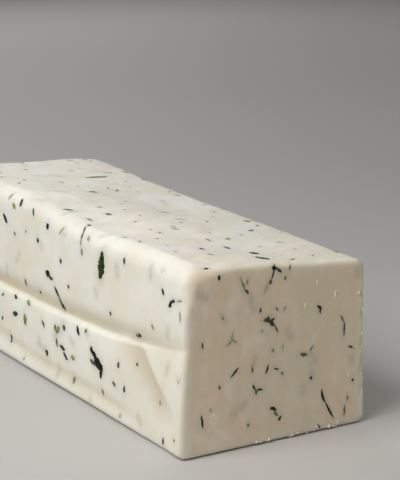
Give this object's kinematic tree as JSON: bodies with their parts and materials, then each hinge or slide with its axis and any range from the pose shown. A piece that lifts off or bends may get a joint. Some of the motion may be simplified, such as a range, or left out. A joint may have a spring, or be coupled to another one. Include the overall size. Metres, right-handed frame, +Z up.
{
  "type": "jalapeno cheese",
  "caption": "Long block of pale cheese with green pepper flecks: one end cut flat, the other end and the long sides moulded soft, with a film crease.",
  "frame": {"origin": "middle of the flat base, at the middle of the bounding box in X and Y", "axes": "+Z up, +Y along the loaf from its cut end to its moulded end, +X towards its lower long side"},
  "size_m": [0.106, 0.2702, 0.0891],
  "materials": {
    "cheese": "moist satin cream cheese with a soft inner glow and dark green to olive pepper flecks"
  },
  "bodies": {
    "root": {"cheese": "cheese"}
  },
  "joints": []
}
